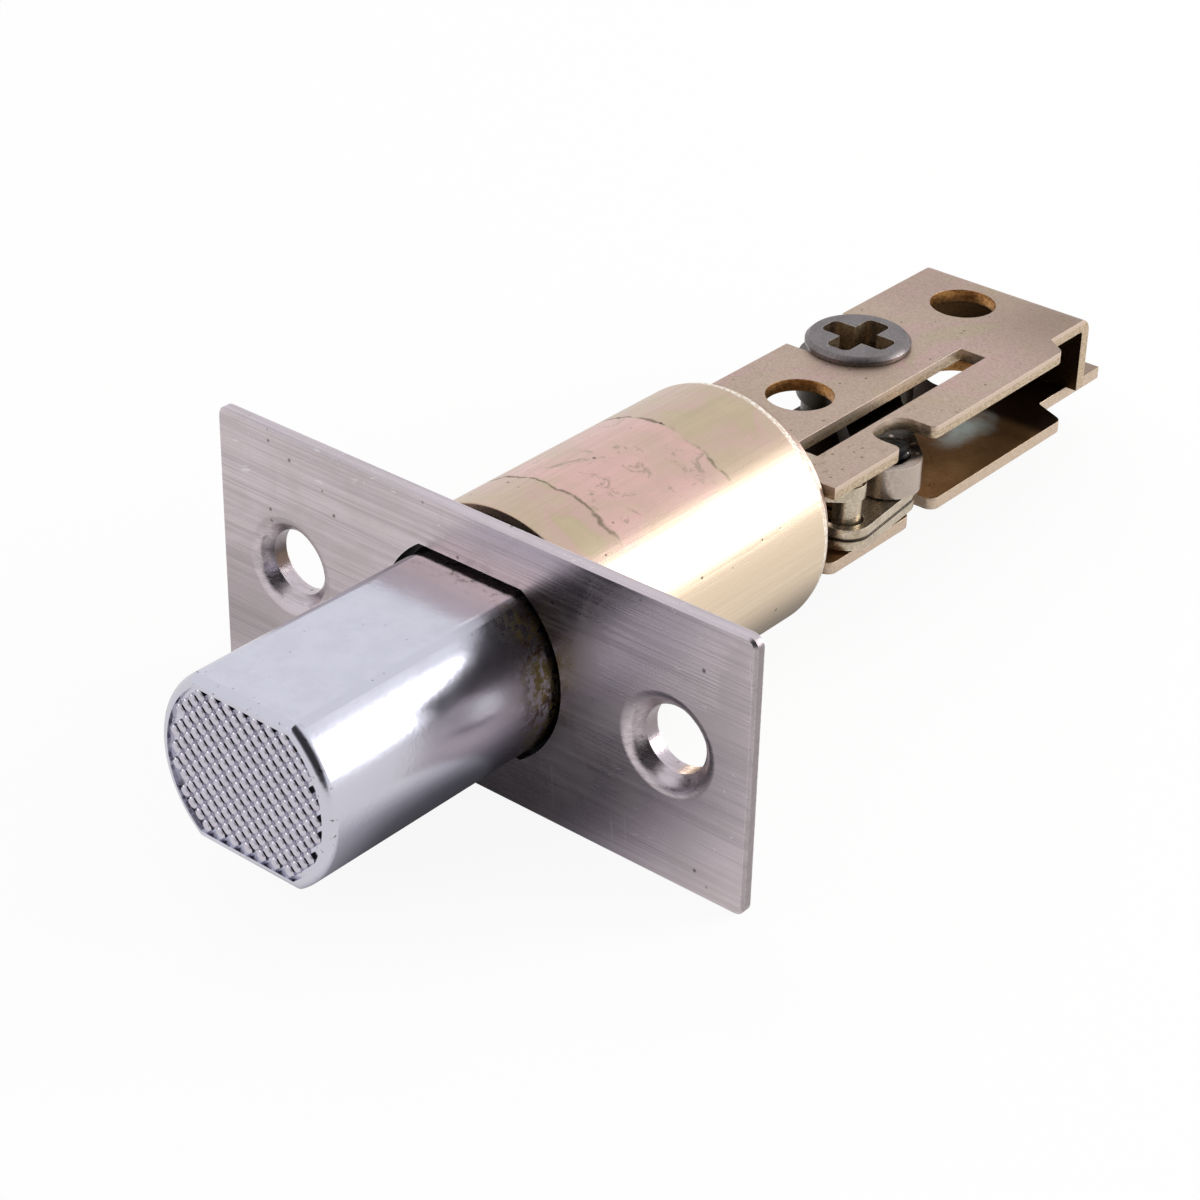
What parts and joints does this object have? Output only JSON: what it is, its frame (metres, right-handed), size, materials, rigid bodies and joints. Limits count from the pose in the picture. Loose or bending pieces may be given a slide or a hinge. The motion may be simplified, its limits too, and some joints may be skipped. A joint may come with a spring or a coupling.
{
  "type": "tubular deadbolt latch",
  "caption": "Tubular deadbolt: flat-sided bolt in a round tube behind a rectangular faceplate, with a rear bracket, cross-socket hub, arm and links.",
  "frame": {"origin": "centre of the faceplate's front face, on the axis of the bolt, midway between the two screw holes", "axes": "+X along the faceplate, +Y from the door's edge into the door, +Z along the hub's axis; the bolt is thrown toward -Y"},
  "size_m": [0.0572, 0.1109, 0.0254],
  "materials": {
    "faceplate_steel": "brushed stainless steel",
    "bolt_chrome": "bright chrome plating",
    "tube_passivated": "yellow zinc passivation",
    "plate_passivated": "brownish zinc passivation",
    "hub_nickel": "cast and nickel plated",
    "link_steel": "passivated steel",
    "pin_dark": "blackened steel, greased",
    "bush_dark": "dark cast metal"
  },
  "bodies": {
    "case": {"faceplate": "faceplate_steel", "guide_bush": "bush_dark", "tube": "tube_passivated", "end_ring": "tube_passivated", "upper_plate": "plate_passivated", "lower_plate": "plate_passivated"},
    "crank": {"cam": "hub_nickel"},
    "links": {"link_upper": "link_steel", "link_lower": "link_steel", "link_pin": "pin_dark"},
    "bolt_slide_body": {"bolt": "bolt_chrome", "tail": "link_steel", "tail_pin": "link_steel", "link_post": "link_steel"}
  },
  "joints": [
    {"name": "hub_turn", "type": "hinge", "parent": "case", "child": "crank", "pos_m": [-0.00505, 0.0603, 0], "axis": [0, 0, 1], "range_deg": [0, 90]},
    {"name": "bolt_slide", "type": "slide", "parent": "case", "child": "bolt_slide_body", "axis": [0, 1, 0], "range_m": [0, 0.0254]},
    {"name": "link_swing", "type": "hinge", "parent": "crank", "child": "links", "pos_m": [0.00765, 0.0476, 0], "axis": [0, 0, 1], "range_deg": [-90, 0]}
  ],
  "couplings": [
    {"joint": "hub_turn", "follows": "bolt_slide", "rad_per_m": 61.842},
    {"joint": "link_swing", "follows": "bolt_slide", "rad_per_m": -61.842}
  ]
}
